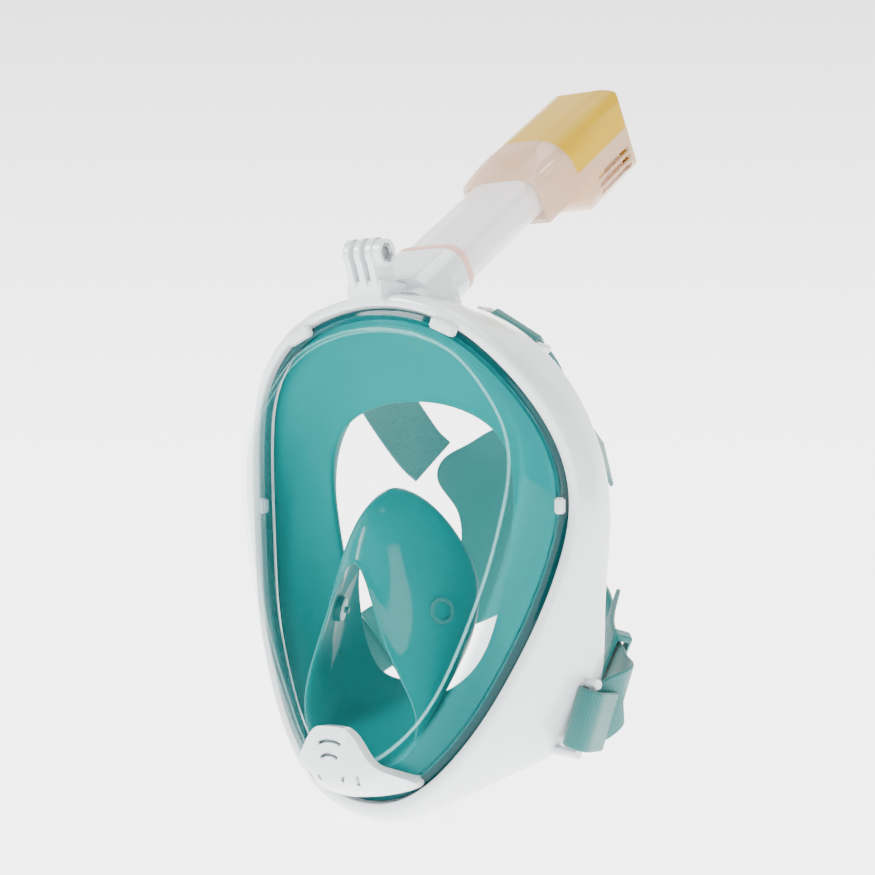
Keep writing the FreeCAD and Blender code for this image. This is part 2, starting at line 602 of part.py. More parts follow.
def pad_solid():
    """The four-armed pad behind the head, cut from one curved plate."""
    outer = Part.makeCylinder(PAD_R + STRAP_T, 160, V(0, PAD_BACK_Y - PAD_R, -80), V(0, 0, 1))
    plate = outer.cut(Part.makeCylinder(PAD_R, 162, V(0, PAD_BACK_Y - PAD_R, -81), V(0, 0, 1)))
    outline = Part.BSplineCurve()
    right = [V(PAD_SHIFT + x * PAD_SCALE, 0, z) for x, z in PAD_OUTLINE]
    left = [V(PAD_SHIFT - x * PAD_SCALE, 0, z) for x, z in reversed(PAD_OUTLINE[1:-1])]
    outline.interpolate(right + left, PeriodicFlag=True)
    block = Part.Face(Part.Wire(outline.toShape())).extrude(V(0, 200, 0))
    return biggest(plate.common(block))


def slider_solid(centre, along, across, side):
    """A slider loop round a strap."""
    c = V(side * centre[0], centre[1], centre[2])
    u = V(side * across[0], across[1], across[2]).normalize()
    w = V(side * along[0], along[1], along[2]).normalize()
    n = u.cross(w).normalize()
    u = w.cross(n)
    wide, high, gap_w, gap_h = STRAP_W + 8, 8.0, STRAP_W + 2.4, STRAP_T + 3.0
    plate = Part.makeBox(wide, 8, high, V(-wide / 2, -4, -high / 2))
    plate = plate.makeFillet(1.2, plate.Edges)
    plate = plate.cut(Part.makeBox(gap_w, 40, gap_h, V(-gap_w / 2, -20, -gap_h / 2)))
    m = FreeCAD.Matrix(u.x, w.x, n.x, c.x, u.y, w.y, n.y, c.y, u.z, w.z, n.z, c.z, 0, 0, 0, 1)
    return placed(plate, m)


def placed(shape, matrix):
    shape = shape.copy()
    shape.Placement = FreeCAD.Placement(matrix)
    return shape


def write(name, shape):
    shape.exportStep(f"parts/{name}.step")
    box = shape.BoundBox
    print(f"{name:24s} {'ok ' if shape.isValid() else 'BAD'} solids {len(shape.Solids)} "
          f"{shape.Volume:9.0f} mm3  x {box.XMin:.0f}..{box.XMax:.0f} y {box.YMin:.0f}..{box.YMax:.0f} "
          f"z {box.ZMin:.0f}..{box.ZMax:.0f}")


def with_lugs(bar, points, feet, side, frame):
    """The bar with a lug at each end, which runs to its foot on the frame's rear edge."""
    for end, foot in zip(mirrored(points, side), mirrored(feet, side)):
        run = foot - end
        reach = run.Length
        run.normalize()
        bar = bar.fuse(cylinder(LUG_R, end - run * LUG_R, run, reach + LUG_R))
    return biggest(bar.cut(frame))


def main():
    lens = lens_solid()
    frame = frame_solid()
    for tab in tab_solids(lens):
        frame = frame.fuse(tab)
    frame_cut = biggest(frame.cut(on_snorkel(plug_bore().fuse(air_duct()))))
    lens = biggest(lens.cut(cylinder(DRAIN_R, DRAIN_CENTRE - DRAIN_DIR * 12, DRAIN_DIR, 24)))
    pocket = pocket_solid()
    for side in (-1, 1):
        c, n = inhale_axis(side)
        pocket = biggest(pocket.cut(cylinder(INHALE_R, c - n * 6, n, 12)))
    write("outer_frame", frame_cut)
    write("lens", lens)
    write("face_skirt", skirt_solid())
    write("nose_pocket", pocket)
    write("skirt_retainer", retainer_solid())
    socket = socket_solid(frame)
    write("snorkel_socket", socket)
    write("release_button", on_snorkel(latch_solid()))
    write("camera_mount", mount_solid(frame, socket))
    write("camera_mount_nut", nut_solid())
    seat, disc = drain_solids()
    write("drain_seat", seat)
    write("drain_disc", disc)
    write("drain_cover", drain_cover_solid(lens, frame))
    cap, body = head_solids()
    for name, shape in (("snorkel_tube", tube_solid()), ("plug_seal", plug_seal_solid()),
                        ("seat_ring", seat_ring_solid()), ("head_cap", cap), ("head_body", body),
                        ("valve_plate", valve_plate_solid()), ("float", float_solid()),
                        ("float_seal", float_seal_solid()), ("float_pin", float_pin_solid())):
        write(name, on_snorkel(shape))
    for side, hand in ((1, "left"), (-1, "right")):
        seat, disc = inhale_solids(side)
        write("inhale_seat_" + hand, seat)
        write("inhale_disc_" + hand, disc)
        upper = strap_bar_solid(UPPER_BAR, side)
        lower = strap_bar_solid(LOWER_BAR, side)
        write("upper_strap_bar_" + hand, with_lugs(upper, UPPER_BAR, UPPER_FEET, side, frame))
        write("lower_strap_bar_" + hand, with_lugs(lower, LOWER_BAR, LOWER_FEET, side, frame))
        write("upper_strap_" + hand, strap_solid(UPPER_PATH, UPPER_ACROSS, side))
        write("lower_strap_" + hand, strap_solid(LOWER_PATH, LOWER_ACROSS, side))
        path = LOWER_PATH[side]
        along = [q - p for p, q in zip(path[2], path[3])]
        middle = [p * 0.6 + q * 0.4 for p, q in zip(path[2], path[3])]
        write("strap_slider_" + hand, slider_solid(middle, along, LOWER_ACROSS[side][2], side))
    write("head_pad", pad_solid())


main()
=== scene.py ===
"""Looks for the full-face snorkel mask, built round its CAD frame.

The object's own sizes are in millimetres; the studio's are in metres."""
import math

import bmesh
import bpy
import numpy as np
from mathutils import Matrix, Vector


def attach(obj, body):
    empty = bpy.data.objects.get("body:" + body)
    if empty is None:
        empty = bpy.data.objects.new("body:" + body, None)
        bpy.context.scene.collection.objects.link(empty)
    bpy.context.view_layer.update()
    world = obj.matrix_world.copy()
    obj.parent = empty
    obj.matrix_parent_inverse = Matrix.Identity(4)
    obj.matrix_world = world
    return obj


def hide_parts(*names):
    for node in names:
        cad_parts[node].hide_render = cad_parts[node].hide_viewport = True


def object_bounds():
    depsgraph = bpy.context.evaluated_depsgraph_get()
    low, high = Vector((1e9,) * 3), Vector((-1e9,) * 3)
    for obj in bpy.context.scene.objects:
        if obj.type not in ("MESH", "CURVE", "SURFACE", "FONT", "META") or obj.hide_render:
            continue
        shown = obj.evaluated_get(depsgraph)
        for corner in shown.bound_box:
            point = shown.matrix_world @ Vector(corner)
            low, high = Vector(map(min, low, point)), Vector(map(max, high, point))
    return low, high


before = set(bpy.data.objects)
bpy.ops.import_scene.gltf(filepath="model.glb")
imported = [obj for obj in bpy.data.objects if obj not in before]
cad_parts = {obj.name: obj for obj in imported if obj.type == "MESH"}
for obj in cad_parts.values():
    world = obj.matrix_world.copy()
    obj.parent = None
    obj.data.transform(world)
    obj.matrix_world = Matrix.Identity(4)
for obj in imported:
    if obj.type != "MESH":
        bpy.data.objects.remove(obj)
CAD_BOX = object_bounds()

MM = 0.001

# ---------------------------------------------------------------- sizes, in millimetres
# Half outlines from the chin up to the forehead, as the CAD model has them.
RIM = [(0, -60, -109), (22, -61, -104), (40, -58, -89), (54, -53, -70.5), (64.5, -48, -51),
       (73.5, -43, -31), (80, -37.5, -10), (84.5, -33.5, 12), (84.5, -34.5, 33), (79, -41, 54),
       (67, -51.5, 75.5), (46.5, -58.5, 95), (23.5, -60.5, 105), (0, -61, 108)]
REAR = [(0, -50, -119.5), (24, -40, -112), (44, -24, -100), (60, -12, -91), (73, -1, -78),
        (81, 3, -52), (85, -3, -22), (90, -6, 10), (90, -9, 33), (85.5, -14, 56),
        (73.5, -18, 79), (51.5, -19, 99), (26, -19, 110), (0, -19, 113.5)]
CREASE = [(0, -86, -95), (16, -83, -91), (30, -77, -80), (41, -72, -65), (50, -70, -48),
          (58, -68, -29), (65.5, -66, -8), (71, -64, 14), (75, -62.5, 38), (70, -61.5, 58),
          (57, -61, 76), (44, -62, 89), (24, -63, 97.5), (0, -63.5, 100.5)]
FACE = [(0, -30, -66), (14, -29, -64), (26, -27, -57), (34.5, -25, -47), (39.5, -23, -34),
        (43, -22, -20), (47, -22, -4), (50, -23.5, 16), (51, -25, 33), (48.5, -27, 46),
        (41.5, -29.5, 56), (29.5, -32, 63), (15, -33.5, 67), (0, -34, 68)]
POCKET_FRONT = [(0, -72, -93), (14, -71, -90), (25, -69, -83), (28.5, -70, -70), (24, -73.5, -56),
                (18, -75.5, -43), (12, -76, -29), (6.5, -75.5, -15), (0, -74.5, -5)]
POCKET_REAR = [(0, -33, -59), (13, -32, -57), (22, -30, -51), (29, -28, -41), (33, -26.5, -28),
               (34, -27, -12), (28, -30, 4), (16, -36, 21), (0, -42, 29)]
POCKET_BULGE = 8.0
# Each pair of tabs on the rim: the centre of the left one, its size, and its slope in degrees.
LENS_TABS = [((39.5, -62.0, 97.2), (13, 4.4, 5), 23.5), ((82.0, -36.4, 20.5), (4, 4, 7), 0)]
RIM_WIDTH, WALL, LENS_T, SILICONE_T = 5.5, 2.6, 2.2, 2.0
UPPER_BAR = [(30, -13.6, 108), (60, -13.6, 90)]
LOWER_BAR = [(75.5, -13.8, -87), (83.5, -10.2, -57)]
# The middle line of each strap and the direction across it, for each side: 1 is +X, the left hand.
UPPER_PATH = {-1: [(46, -5.5, 100.0), (57, 11, 90), (62, 35, 72), (59, 56, 51), (55.5, 65, 43)],
              1: [(46, -7.0, 100.0), (44, 8, 88), (42, 32, 70), (41, 58, 54), (37, 81, 41)]}
UPPER_ACROSS = {-1: [(0.86, 0, -0.51), (0.86, -0.1, -0.51), (0.7, -0.3, -0.6), (0.55, -0.45, -0.7),
                     (0.5, -0.5, -0.7)],
                1: [(0.86, 0, -0.51), (0.84, 0.1, -0.53), (0.62, 0.2, -0.75), (0.4, 0.1, -0.9),
                    (0.3, 0.1, -0.95)]}
LOWER_PATH = {-1: [(83, 0, -68), (83, 18, -62), (76, 40, -51), (66, 56, -39), (60.5, 63.5, -33)],
              1: [(84, 0, -68), (84, 13, -63), (73, 26, -58), (53, 50, -46), (40, 79.5, -31)]}
LOWER_ACROSS = {-1: [(0.25, 0.11, 0.96), (0.3, 0.0, 0.95), (0.45, -0.3, 0.8), (0.55, -0.45, 0.7),
                     (0.56, -0.5, 0.66)],
                1: [(0.25, 0.11, 0.96), (0.25, 0.11, 0.96), (0.3, 0.1, 0.95), (0.32, 0.1, 0.94),
                    (0.3, 0.1, 0.95)]}
STRAP_W, STRAP_T = 27.0, 2.2
LENS_SHARES = (0.3, 0.62, 0.88, 1.0)     # rows of the lens from its middle out to its crease
WALL_SHARES = (0.8, 0.35, 0.03)          # rows of its side wall from its crease down to the rim
# A number for each row of the lens: 0 in the middle, 1 at the crease, 2 where it meets the rim.
FACE_BANDS = [0, *LENS_SHARES, 1.2, 1.65, 2]
LENS_BANDS = FACE_BANDS + [2, 2, 2] + FACE_BANDS[::-1]
PANEL_Y, PANEL_Z, PANEL_LEAN = -64.0, 100.0, 0.152       # the lens's flat middle
SEAL_SPREAD = 15                                         # the face seal's reach round the opening
EDGE_POINTS = 6                                          # points round each edge of a strap
STATION_STEPS = 9        # mesh columns between two stations of an outline
ROW_STEPS = 5            # mesh rows between two rows of a section
PATH_STEPS = 10          # pieces of a strap between two points of its path
UPPER_LOOP_R, LOWER_LOOP_R, LOOP_REACH = 3.0, 5.2, 9   # each strap's loop round its bar
PLY_OFFSET, TAIL_LENGTH = 1.3, 8                       # the end that is sewn back on the strap
WELD, CAD_WELD = 1e-6, 2e-6                            # points closer than this are one, in metres
FLAT_ANGLE, SHARP_ANGLE = 1.0, 38                      # degrees between two faces of a CAD shape
BEVEL_SEGMENTS = 3
TAB_BEVEL = 0.8


# ---------------------------------------------------------------- camera and light
CAMERA_AZIMUTH, CAMERA_ELEVATION = math.radians(35), math.radians(-2)
CAMERA_DISTANCE, CAMERA_TARGET = 0.9, (0, -0.010, 0.052)
FOCAL_MM, SENSOR_MM = 80.35, 36
FLOOR_FRONT, FLOOR_HALF_WIDTH = -4.0, 5.0
WALL_BACK, WALL_TOP, SWEEP_R, SWEEP_POINTS = 2.6, 5.0, 1.2, 17
WORLD_COLOUR, WORLD_STRENGTH = (0.95, 0.97, 1.0, 1), 0.35
# Each soft box: its name, place, width, height and power in watts. All aim at the origin.
SOFT_BOXES = [("key", (-0.75, -1.15, 0.95), 0.5, 0.7, 34),
              ("side", (1.5, -0.5, 0.5), 0.4, 1.2, 13),
              ("top", (0.1, 0.3, 1.5), 1.0, 1.0, 20),
              ("back", (-0.9, 1.3, 0.6), 0.9, 0.9, 8)]


def aim(obj, target):
    """Turn a camera or light to look at a point."""
    direction = Vector(target) - obj.location
    obj.rotation_euler = direction.to_track_quat("-Z", "Y").to_euler()


def add_camera():
    target = Vector(CAMERA_TARGET)
    data = bpy.data.cameras.new("camera")
    data.lens, data.sensor_width = FOCAL_MM, SENSOR_MM
    camera = bpy.data.objects.new("camera", data)
    bpy.context.scene.collection.objects.link(camera)
    level = math.cos(CAMERA_ELEVATION)
    camera.location = target + CAMERA_DISTANCE * Vector((math.sin(CAMERA_AZIMUTH) * level,
                                                         -math.cos(CAMERA_AZIMUTH) * level,
                                                         math.sin(CAMERA_ELEVATION)))
    aim(camera, target)
    bpy.context.scene.camera = camera


def add_area(name, place, width, height, power):
    data = bpy.data.lights.new(name, "AREA")
    data.shape, data.size, data.size_y = "RECTANGLE", width, height
    data.energy = power
    light = bpy.data.objects.new(name, data)
    bpy.context.scene.collection.objects.link(light)
    light.location = place
    aim(light, (0, 0, 0))


def add_studio():
    """A pale floor that curves up into a backdrop behind the object, the world, and soft boxes."""
    low_z = CAD_BOX[0][2]
    sweep_y, sweep_z = WALL_BACK - SWEEP_R, low_z + SWEEP_R
    profile = [(FLOOR_FRONT, low_z), (sweep_y, low_z)]
    profile += [(sweep_y + SWEEP_R * math.sin(a), sweep_z - SWEEP_R * math.cos(a))
                for a in np.linspace(0, math.pi / 2, SWEEP_POINTS)[1:]]
    profile += [(WALL_BACK, WALL_TOP)]
    turn = Matrix.Rotation(CAMERA_AZIMUTH, 4, "Z")
    verts = [turn @ Vector((x, y, z)) for y, z in profile
             for x in (-FLOOR_HALF_WIDTH, FLOOR_HALF_WIDTH)]
    faces = [(2 * i, 2 * i + 1, 2 * i + 3, 2 * i + 2) for i in range(len(profile) - 1)]
    mesh = bpy.data.meshes.new("studio_floor")
    mesh.from_pydata([tuple(v) for v in verts], [], faces)
    floor = bpy.data.objects.new("studio_floor", mesh)
    bpy.context.scene.collection.objects.link(floor)
    mesh.materials.append(backdrop_material())
    smooth(floor)
    world = bpy.data.worlds.new("studio")
    world.use_nodes = True
    background = world.node_tree.nodes["Background"]
    background.inputs[0].default_value = WORLD_COLOUR
    background.inputs[1].default_value = WORLD_STRENGTH
    bpy.context.scene.world = world
    for soft_box in SOFT_BOXES:
        add_area(*soft_box)


# ---------------------------------------------------------------- surfaces from outlines
def whole(half):
    """A half outline and its mirror image, as one closed ring of stations."""
    right = np.array(half, float)
    left = right[-2:0:-1] * np.array([-1, 1, 1])
    return np.vstack([right, left])


def outward(ring):
    """The direction away from the ring's middle at each station, square to Y."""
    t = np.roll(ring, -1, 0) - np.roll(ring, 1, 0)
    n = np.stack([t[:, 2], 0 * t[:, 0], -t[:, 0]], 1)
    return n / np.linalg.norm(n, axis=1, keepdims=True)


def sharpened(row):
    """The row pushed out a little, to make up for what the spline pulls in."""
    return row - (np.roll(row, -1, 0) + np.roll(row, 1, 0) - 2 * row) / 6.0


def closed_basis(n, steps):
    """Weights of a closed uniform cubic B-spline, steps points to each of its n spans."""
    weights = np.zeros((n * steps, n))
    for k in range(n * steps):
        i, t = k // steps, (k % steps) / steps
        four = ((1 - t) ** 3 / 6, (3 * t ** 3 - 6 * t ** 2 + 4) / 6,
                (-3 * t ** 3 + 3 * t ** 2 + 3 * t + 1) / 6, t ** 3 / 6)
        for j, w in enumerate(four):
            weights[k, (i + j - 1) % n] += w
    return weights


def open_basis(n, steps):
    """Weights of a clamped uniform cubic B-spline of n poles."""
    knots = np.array([0] * 3 + list(range(n - 2)) + [n - 3] * 3, float)
    t = np.linspace(0, n - 3, (n - 3) * steps + 1)
    t[-1] -= 1e-9        # the end stays inside the last span
    b = [((knots[i] <= t) & (t < knots[i + 1])).astype(float) for i in range(len(knots) - 1)]
    for degree in (1, 2, 3):
        higher = []
        for i in range(len(b) - 1):
            total = 0 * t
            rise = knots[i + degree] - knots[i]
            fall = knots[i + degree + 1] - knots[i + 1]
            if rise > 0:
                total = total + (t - knots[i]) / rise * b[i]
            if fall > 0:
                total = total + (knots[i + degree + 1] - t) / fall * b[i + 1]
            higher.append(total)
        b = higher
    return np.stack(b, 1)


def surface(rows, closed_rows=True):
    """A grid of points on the smooth surface through rings of stations, as the CAD model makes it."""
    rows = np.array([sharpened(np.array(r, float)) for r in rows])
    across = closed_basis(rows.shape[1], STATION_STEPS)
    basis = closed_basis if closed_rows else open_basis
    return np.einsum("vr,us,rsc->vuc", basis(len(rows), ROW_STEPS), across, rows)


def grid_object(name, grid, closed_rows, material, band=None):
    """A mesh of quads from a grid of points in millimetres; its columns always close up.

    band gives a number to each row, which the material can read.
    """
    nv, nu, _ = grid.shape
    faces = []
    for v in range(nv if closed_rows else nv - 1):
        for u in range(nu):
            a, b = v * nu + u, v * nu + (u + 1) % nu
            c, d = ((v + 1) % nv) * nu + (u + 1) % nu, ((v + 1) % nv) * nu + u
            faces.append((a, b, c, d))
    mesh = bpy.data.meshes.new(name)
    mesh.from_pydata([tuple(p) for p in grid.reshape(-1, 3) * MM], [], faces)
    if band is not None:
        layer = mesh.attributes.new("band", "FLOAT", "POINT")
        layer.data.foreach_set("value", np.repeat(band, nu).astype(np.float32))
    return finished(name, mesh, material)


def finished(name, mesh, material):
    """A mesh as an object: welded, its normals outward, smooth, with its material."""
    work = bmesh.new()
    work.from_mesh(mesh)
    bmesh.ops.remove_doubles(work, verts=work.verts, dist=WELD)
    bmesh.ops.recalc_face_normals(work, faces=work.faces)
    work.to_mesh(mesh)
    work.free()
    obj = bpy.data.objects.new(name, mesh)
    bpy.context.scene.collection.objects.link(obj)
    mesh.materials.append(material)
    smooth(obj)
    return obj


def smooth(obj, degrees=None):
    """Smooth shading all over, or with degrees, only across edges flatter than that."""
    obj.data.polygons.foreach_set("use_smooth", [True] * len(obj.data.polygons))
    if degrees is not None:
        bpy.context.view_layer.objects.active = obj
        for other in bpy.context.selected_objects:
            other.select_set(False)
        obj.select_set(True)
        bpy.ops.object.shade_smooth_by_angle(angle=math.radians(degrees))
        obj.select_set(False)


# ---------------------------------------------------------------- materials
def new_material(name):
    material = bpy.data.materials.new(name)
    material.use_nodes = True
    tree = material.node_tree
    return material, tree, tree.nodes["Principled BSDF"]


def noise(tree, scale):
    """Soft noise in the object's own space, with scale waves to the metre or so."""
    coords = tree.nodes.new("ShaderNodeTexCoord")
    node = tree.nodes.new("ShaderNodeTexNoise")
    node.inputs["Scale"].default_value = scale
    tree.links.new(coords.outputs["Object"], node.inputs["Vector"])
    return node.outputs["Fac"]


def maths(tree, operation, *values):
    """A maths node's output; each value is a plain number or another node's output."""
    node = tree.nodes.new("ShaderNodeMath")
    node.operation = operation
    for socket, value in zip(node.inputs, values):
        if isinstance(value, (int, float)):
            socket.default_value = value
        else:
            tree.links.new(value, socket)
    return node.outputs[0]


def colour_output(node):
    return [s for s in node.outputs if s.type == "RGBA"][0]


def ramp(tree, value, low, high):
    """A mottled colour, or with single numbers a mottled roughness, between low and high."""
    node = tree.nodes.new("ShaderNodeMapRange" if isinstance(low, float) else "ShaderNodeMix")
    if isinstance(low, float):
        node.inputs["To Min"].default_value, node.inputs["To Max"].default_value = low, high
        tree.links.new(value, node.inputs["Value"])
        return node.outputs["Result"]
    node.data_type = "RGBA"
    node.inputs["A"].default_value, node.inputs["B"].default_value = (*low, 1), (*high, 1)
    tree.links.new(value, node.inputs["Factor"])
    return colour_output(node)


def bump(tree, shader, height, strength, distance):
    """Relief on the shader's normal, distance metres deep."""
    node = tree.nodes.new("ShaderNodeBump")
    node.inputs["Strength"].default_value = strength
    node.inputs["Distance"].default_value = distance
    tree.links.new(height, node.inputs["Height"])
    tree.links.new(node.outputs["Normal"], shader.inputs["Normal"])


def plastic(name, low, high, rough=(0.22, 0.34), coat=0.0, gloss=0.5):
    """Moulded plastic: a faint mottle in colour and gloss, and a fine moulded surface."""
    material, tree, shader = new_material(name)
    tree.links.new(ramp(tree, noise(tree, 55), low, high), shader.inputs["Base Color"])
    tree.links.new(ramp(tree, noise(tree, 160), *rough), shader.inputs["Roughness"])
    shader.inputs["Specular IOR Level"].default_value = gloss
    shader.inputs["Coat Weight"].default_value = coat
    shader.inputs["Coat Roughness"].default_value = 0.08
    bump(tree, shader, noise(tree, 1400), 0.04, 0.0002)
    return material


def silicone(name, low, high, rough, coat=0.0):
    """Silicone rubber: a faint mottle in colour and gloss, with a fine skin."""
    material, tree, shader = new_material(name)
    tree.links.new(ramp(tree, noise(tree, 30), low, high), shader.inputs["Base Color"])
    tree.links.new(ramp(tree, noise(tree, 120), *rough), shader.inputs["Roughness"])
    shader.inputs["Specular IOR Level"].default_value = 0.05
    shader.inputs["Coat Weight"].default_value = coat
    shader.inputs["Coat Roughness"].default_value = 0.06
    bump(tree, shader, noise(tree, 900), 0.03, 0.0002)
    return material


def clear(name, face, edge, thin, thick, rough=(0.03, 0.07), power=2.0, gloss=0.5):
    """Clear plastic: see-through where it faces the eye, stronger and deeper at its edges."""
    material, tree, shader = new_material(name)
    weight = tree.nodes.new("ShaderNodeLayerWeight")
    weight.inputs["Blend"].default_value = 0.35
    bend = maths(tree, "POWER", weight.outputs["Facing"], power)
    tree.links.new(ramp(tree, bend, face, edge), shader.inputs["Base Color"])
    tree.links.new(ramp(tree, bend, thin, thick), shader.inputs["Alpha"])
    tree.links.new(ramp(tree, noise(tree, 90), *rough), shader.inputs["Roughness"])
    shader.inputs["Specular IOR Level"].default_value = gloss
    return material


# Each line of painted light and shade on the lens: its place and half width in band numbers, its colour
# and how strong it is.
# a painted highlight along the crease
LENS_LIGHT_AND_SHADE_LINES = [(1.0, 0.020, (0.30, 0.70, 0.70), 0.24),
              # painted shade over the side wall
              (1.55, 0.45, (0.0, 0.22, 0.23), 0.30),
              # a painted dark line of shade where the lens meets the rim
              (2.0, 0.12, (0.0, 0.05, 0.055), 0.90)]
LINE_CORE = 0.45         # the share of a line's half width that is at full strength


def lens_material():
    """The clear lens: a painted highlight along its crease, painted shade over its side wall and a
    painted dark line of shade at the rim.
    """
    material = clear("clear_lens", (0.05, 0.55, 0.55), (0.0, 0.10, 0.11), 0.015, 0.75,
                     power=4.0, gloss=0.22)
    tree = material.node_tree
    shader = tree.nodes["Principled BSDF"]
    colour, alpha = (shader.inputs[n].links[0].from_socket for n in ("Base Color", "Alpha"))
    band = tree.nodes.new("ShaderNodeAttribute")
    band.attribute_name = "band"
    # Each pass mixes one painted line into the lens's colour and alpha: the painted highlight at the
    # crease, then painted shade on the side wall and at the rim.
    for place, width, painted_light_colour, strength in LENS_LIGHT_AND_SHADE_LINES:
        away = maths(tree, "ABSOLUTE", maths(tree, "SUBTRACT", band.outputs["Fac"], place))
        near = tree.nodes.new("ShaderNodeMapRange")
        near.interpolation_type = "SMOOTHSTEP"
        near.inputs["From Min"].default_value = width
        near.inputs["From Max"].default_value = width * LINE_CORE
        tree.links.new(away, near.inputs["Value"])
        painted_light_mix = tree.nodes.new("ShaderNodeMix")
        painted_light_mix.data_type = "RGBA"
        tree.links.new(near.outputs["Result"], painted_light_mix.inputs["Factor"])
        tree.links.new(colour, painted_light_mix.inputs["A"])
        painted_light_mix.inputs["B"].default_value = (*painted_light_colour, 1)
        colour = colour_output(painted_light_mix)
        alpha = maths(tree, "MAXIMUM", maths(tree, "MULTIPLY", near.outputs["Result"], strength), alpha)
    tree.links.new(colour, shader.inputs["Base Color"])
    tree.links.new(alpha, shader.inputs["Alpha"])
    return material


WEAVE_PITCHES = (("X", 0.0011), ("Y", 0.0009))   # metres, along the strap and across it


def webbing(name, dark, light):
    """Woven elastic: cross ribs along the strap's length, from the strap's own UVs in metres."""
    material, tree, shader = new_material(name)
    uv = tree.nodes.new("ShaderNodeUVMap")
    split = tree.nodes.new("ShaderNodeSeparateXYZ")
    tree.links.new(uv.outputs["UV"], split.inputs[0])
    waves = [maths(tree, "SINE", maths(tree, "MULTIPLY", split.outputs[way], 2 * math.pi / pitch))
             for way, pitch in WEAVE_PITCHES]
    weave = maths(tree, "MULTIPLY_ADD", maths(tree, "ADD", *waves), 0.3, 0.5)
    tree.links.new(ramp(tree, weave, dark, light), shader.inputs["Base Color"])
    shader.inputs["Roughness"].default_value = 0.62
    shader.inputs["Sheen Weight"].default_value = 0.25
    bump(tree, shader, weave, 0.5, 0.0003)
    return material


def steel(name):
    material, tree, shader = new_material(name)
    mottle = ramp(tree, noise(tree, 300), (0.42, 0.42, 0.44), (0.62, 0.62, 0.63))
    tree.links.new(mottle, shader.inputs["Base Color"])
    tree.links.new(ramp(tree, noise(tree, 700), 0.25, 0.42), shader.inputs["Roughness"])
    shader.inputs["Metallic"].default_value = 1.0
    return material


FADE_Z, FADE_GLOW = (0.1, 1.0), (4.6, 2.2)       # the paper's glow falls as its height rises


def backdrop_material():
    """White paper that is lit from behind, so that the sweep shows no horizon, and darker high up."""
    material, tree, shader = new_material("studio_paper")
    mottle = ramp(tree, noise(tree, 3), (0.20, 0.20, 0.20), (0.22, 0.22, 0.22))
    tree.links.new(mottle, shader.inputs["Base Color"])
    shader.inputs["Roughness"].default_value = 0.9
    shader.inputs["Specular IOR Level"].default_value = 0.0
    place = tree.nodes.new("ShaderNodeNewGeometry")
    split = tree.nodes.new("ShaderNodeSeparateXYZ")
    tree.links.new(place.outputs["Position"], split.inputs[0])
    height = tree.nodes.new("ShaderNodeMapRange")
    for socket, value in zip(("From Min", "From Max", "To Min", "To Max"), (*FADE_Z, *FADE_GLOW)):
        height.inputs[socket].default_value = value
    tree.links.new(split.outputs["Z"], height.inputs["Value"])
    shader.inputs["Emission Color"].default_value = (1.0, 1.0, 1.0, 1)
    tree.links.new(height.outputs["Result"], shader.inputs["Emission Strength"])
    return material


WHITE = plastic("white_plastic", (0.66, 0.70, 0.715), (0.70, 0.735, 0.75), (0.20, 0.32),
                coat=0.6)
TEAL = silicone("teal_silicone", (0.000, 0.155, 0.153), (0.000, 0.172, 0.170), (0.55, 0.65))
TEAL_GLOSS = silicone("teal_gloss", (0.000, 0.155, 0.153), (0.000, 0.172, 0.170), (0.40, 0.50),
                      coat=0.30)
LENS = lens_material()
TUBE = clear("clear_tube", (0.95, 0.93, 0.92), (0.66, 0.62, 0.61), 0.55, 0.97, (0.12, 0.22),
             power=1.6)
HEAD = clear("head_clear", (0.80, 0.55, 0.38), (0.55, 0.33, 0.20), 0.42, 0.95, (0.10, 0.18),
             power=1.2)
YELLOW = plastic("yellow_cap", (0.48, 0.29, 0.0), (0.54, 0.32, 0.0), (0.30, 0.40), gloss=0.10)
FLOAT = plastic("float_plastic", (0.90, 0.60, 0.18), (0.95, 0.66, 0.24), (0.40, 0.55))
SEAL = silicone("tinted_seal", (0.72, 0.42, 0.34), (0.80, 0.50, 0.42), (0.30, 0.42))
CLEAR_RUBBER = silicone("clear_silicone", (0.55, 0.70, 0.70), (0.60, 0.76, 0.76), (0.25, 0.35))
STRAP = webbing("teal_webbing", (0.000, 0.09, 0.085), (0.001, 0.15, 0.14))
TEAL_PLASTIC = plastic("teal_plastic", (0.000, 0.12, 0.115), (0.001, 0.14, 0.135), (0.35, 0.48))
STEEL = steel("zinc_steel")


# ---------------------------------------------------------------- pieces from CAD shapes
def refined(node, name, body, material, bevel=0.35):
    """The CAD node's shape with softened edges, standing for the node."""
    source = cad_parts[node]
    mesh = source.data.copy()
    mesh.name = name
    mesh.materials.clear()
    work = bmesh.new()
    work.from_mesh(mesh)
    bmesh.ops.remove_doubles(work, verts=work.verts, dist=CAD_WELD)
    bmesh.ops.dissolve_limit(work, angle_limit=math.radians(FLAT_ANGLE),
                             verts=work.verts, edges=work.edges)
    bmesh.ops.recalc_face_normals(work, faces=work.faces)
    work.to_mesh(mesh)
    work.free()
    obj = bpy.data.objects.new(name, mesh)
    bpy.context.scene.collection.objects.link(obj)
    mesh.materials.append(material)
    if bevel:
        softened = obj.modifiers.new("edges", "BEVEL")
        softened.width, softened.segments = bevel * MM, BEVEL_SEGMENTS
        softened.limit_method, softened.angle_limit = "ANGLE", math.radians(SHARP_ANGLE)
        softened.harden_normals = True
    smooth(obj, SHARP_ANGLE)
    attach(obj, body)
    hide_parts(node)
    return obj


# ---------------------------------------------------------------- frame
Y = np.array([0.0, 1.0, 0.0])


def mix(a, b, t):
    return a * (1 - t) + b * t


